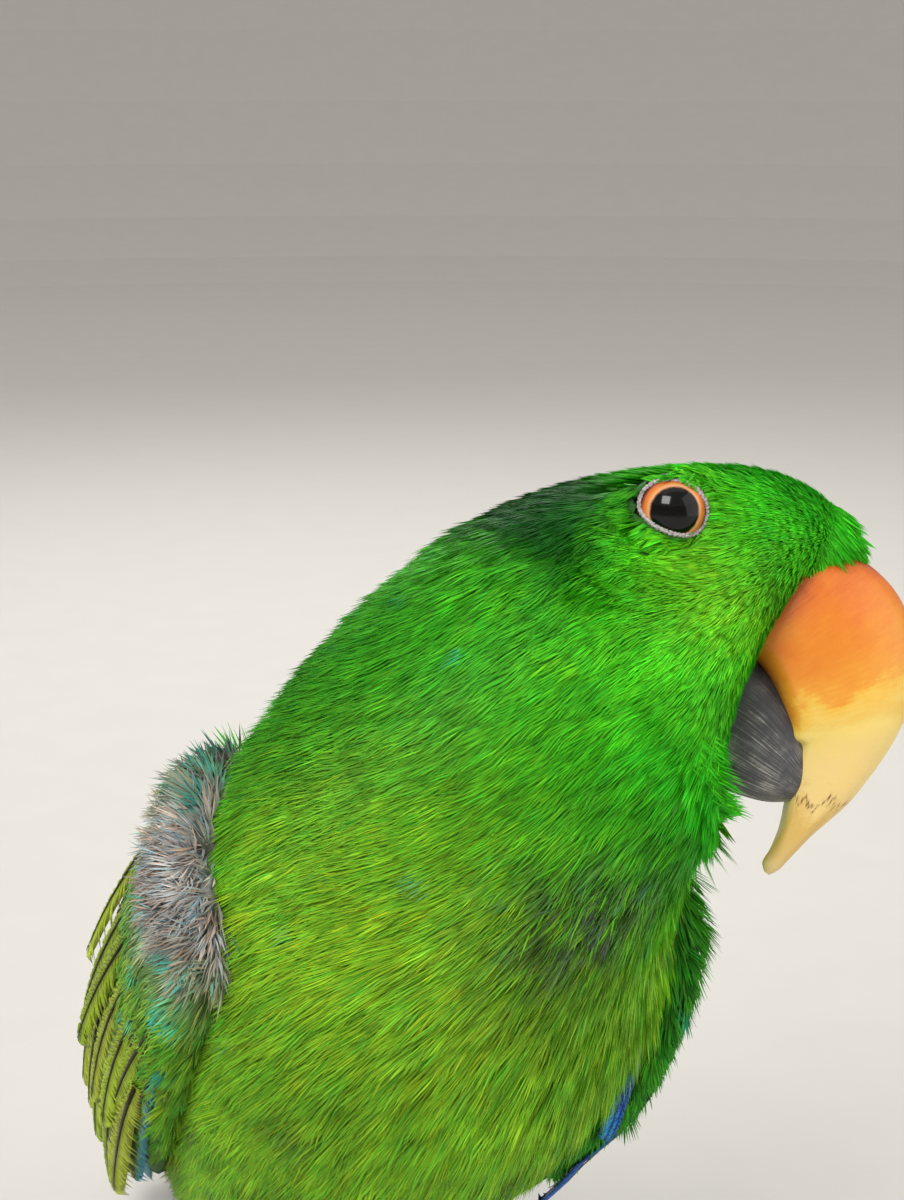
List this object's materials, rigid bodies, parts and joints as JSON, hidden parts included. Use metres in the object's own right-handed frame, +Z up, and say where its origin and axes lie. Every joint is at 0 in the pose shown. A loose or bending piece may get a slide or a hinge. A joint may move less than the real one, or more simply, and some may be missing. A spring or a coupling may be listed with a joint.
{
  "type": "eclectus parrot",
  "caption": "Life-size still model of a standing green parrot with an overgrown orange beak and its head turned to its left.",
  "frame": {"origin": "on the floor, under the middle of the model's own box", "axes": "+Z up from the floor, the body faces -Y and its tail points to +Y, its left side is at +X"},
  "size_m": [0.117, 0.2322, 0.2224],
  "materials": {
    "green_feathers": "soft, fine feathers",
    "wing_feathers": "satin feather vanes, green with blue edges",
    "tail_feathers": "satin feather vanes, green turning blue outwards",
    "scaly_skin": "dry grey scaly skin",
    "claw_horn": "dark horn, slightly glossy",
    "beak_horn": "orange horn turning yellow and pale to the tip, half matt",
    "dark_beak_horn": "dark grey horn, scratched",
    "eye": "wet and glossy"
  },
  "bodies": {
    "root": {"head": "green_feathers", "neck": "green_feathers", "torso": "green_feathers", "thigh_left": "green_feathers", "thigh_right": "green_feathers", "wing_left": "wing_feathers", "wing_right": "wing_feathers", "tail": "tail_feathers", "foot_left": "scaly_skin", "foot_right": "scaly_skin", "beak_upper": "beak_horn", "beak_lower": "dark_beak_horn", "eye_left": "eye", "eye_right": "eye", "claw_left_1": "claw_horn", "claw_left_2": "claw_horn", "claw_left_3": "claw_horn", "claw_left_4": "claw_horn", "claw_right_1": "claw_horn", "claw_right_2": "claw_horn", "claw_right_3": "claw_horn", "claw_right_4": "claw_horn"}
  },
  "joints": []
}
